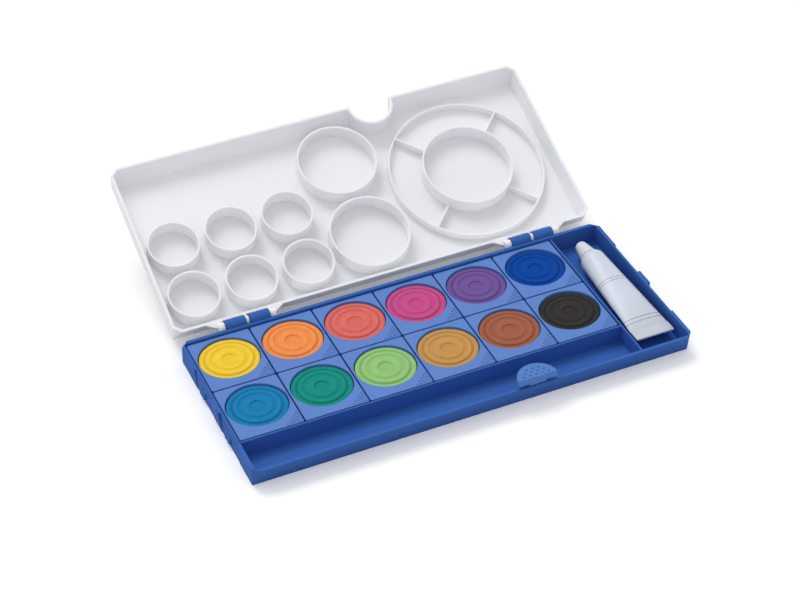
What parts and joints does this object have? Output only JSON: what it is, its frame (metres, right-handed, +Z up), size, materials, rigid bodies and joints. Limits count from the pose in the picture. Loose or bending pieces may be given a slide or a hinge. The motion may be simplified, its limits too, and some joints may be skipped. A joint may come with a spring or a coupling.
{
  "type": "watercolour paint set",
  "caption": "Hinged plastic watercolour box with lift-out paint pans, brush tray, tube bay with a paint tube, sprung latch tab and a mixing palette lid.",
  "frame": {"origin": "centre of the underside, under the middle of the rim outline", "axes": "+X along the box towards the tube bay, +Y back to the hinge, +Z up"},
  "size_m": [0.2372, 0.2102, 0.0538],
  "materials": {
    "case_blue": "semi-gloss",
    "pan_blue": "semi-gloss",
    "lid_white": "gloss",
    "tube_white": "satin",
    "cap_white": "satin",
    "paint_white": "matt",
    "paint_yellow": "matt pressed paint",
    "paint_orange": "matt pressed paint",
    "paint_red": "matt pressed paint",
    "paint_magenta": "matt pressed paint",
    "paint_violet": "matt pressed paint",
    "paint_ultramarine": "matt pressed paint",
    "paint_sky_blue": "matt pressed paint",
    "paint_teal": "matt pressed paint",
    "paint_light_green": "matt pressed paint",
    "paint_ochre": "matt pressed paint",
    "paint_brown": "matt pressed paint",
    "paint_black": "matt pressed paint"
  },
  "bodies": {
    "base": {"base_tray": "case_blue"},
    "lid": {"lid_palette": "lid_white"},
    "latch": {"latch_tab": "case_blue"},
    "tube": {"tube_body": "tube_white", "tube_paint": "paint_white"},
    "cap": {"tube_cap": "cap_white"},
    "pan_01": {"pan_01": "pan_blue", "tablet_01": "paint_yellow"},
    "pan_02": {"pan_02": "pan_blue", "tablet_02": "paint_orange"},
    "pan_03": {"pan_03": "pan_blue", "tablet_03": "paint_red"},
    "pan_04": {"pan_04": "pan_blue", "tablet_04": "paint_magenta"},
    "pan_05": {"pan_05": "pan_blue", "tablet_05": "paint_violet"},
    "pan_06": {"pan_06": "pan_blue", "tablet_06": "paint_ultramarine"},
    "pan_07": {"pan_07": "pan_blue", "tablet_07": "paint_sky_blue"},
    "pan_08": {"pan_08": "pan_blue", "tablet_08": "paint_teal"},
    "pan_09": {"pan_09": "pan_blue", "tablet_09": "paint_light_green"},
    "pan_10": {"pan_10": "pan_blue", "tablet_10": "paint_ochre"},
    "pan_11": {"pan_11": "pan_blue", "tablet_11": "paint_brown"},
    "pan_12": {"pan_12": "pan_blue", "tablet_12": "paint_black"}
  },
  "joints": [
    {"name": "lid_hinge", "type": "hinge", "parent": "base", "child": "lid", "pos_m": [0, 0.0558, 0.0126], "axis": [-1, 0, 0], "range_deg": [-157.6, 0]},
    {"name": "latch_flex", "type": "hinge", "parent": "base", "child": "latch", "pos_m": [0.0307, -0.052, 0.01355], "axis": [1, 0, 0], "range_deg": [0, 8], "stiffness_Nm_per_rad": 0.05},
    {"name": "tube_lift", "type": "slide", "parent": "base", "child": "tube", "axis": [0, 0, 1], "range_m": [0, 0.02]},
    {"name": "cap_turn", "type": "hinge", "parent": "tube", "child": "cap", "pos_m": [0.1029, 0.0317, 0.0087], "axis": [0, 1, 0], "range_deg": [0, 360]},
    {"name": "pan_lift_01", "type": "slide", "parent": "base", "child": "pan_01", "axis": [0, 0, 1], "range_m": [0, 0.014]},
    {"name": "pan_lift_02", "type": "slide", "parent": "base", "child": "pan_02", "axis": [0, 0, 1], "range_m": [0, 0.014]},
    {"name": "pan_lift_03", "type": "slide", "parent": "base", "child": "pan_03", "axis": [0, 0, 1], "range_m": [0, 0.014]},
    {"name": "pan_lift_04", "type": "slide", "parent": "base", "child": "pan_04", "axis": [0, 0, 1], "range_m": [0, 0.014]},
    {"name": "pan_lift_05", "type": "slide", "parent": "base", "child": "pan_05", "axis": [0, 0, 1], "range_m": [0, 0.014]},
    {"name": "pan_lift_06", "type": "slide", "parent": "base", "child": "pan_06", "axis": [0, 0, 1], "range_m": [0, 0.014]},
    {"name": "pan_lift_07", "type": "slide", "parent": "base", "child": "pan_07", "axis": [0, 0, 1], "range_m": [0, 0.014]},
    {"name": "pan_lift_08", "type": "slide", "parent": "base", "child": "pan_08", "axis": [0, 0, 1], "range_m": [0, 0.014]},
    {"name": "pan_lift_09", "type": "slide", "parent": "base", "child": "pan_09", "axis": [0, 0, 1], "range_m": [0, 0.014]},
    {"name": "pan_lift_10", "type": "slide", "parent": "base", "child": "pan_10", "axis": [0, 0, 1], "range_m": [0, 0.014]},
    {"name": "pan_lift_11", "type": "slide", "parent": "base", "child": "pan_11", "axis": [0, 0, 1], "range_m": [0, 0.014]},
    {"name": "pan_lift_12", "type": "slide", "parent": "base", "child": "pan_12", "axis": [0, 0, 1], "range_m": [0, 0.014]}
  ]
}
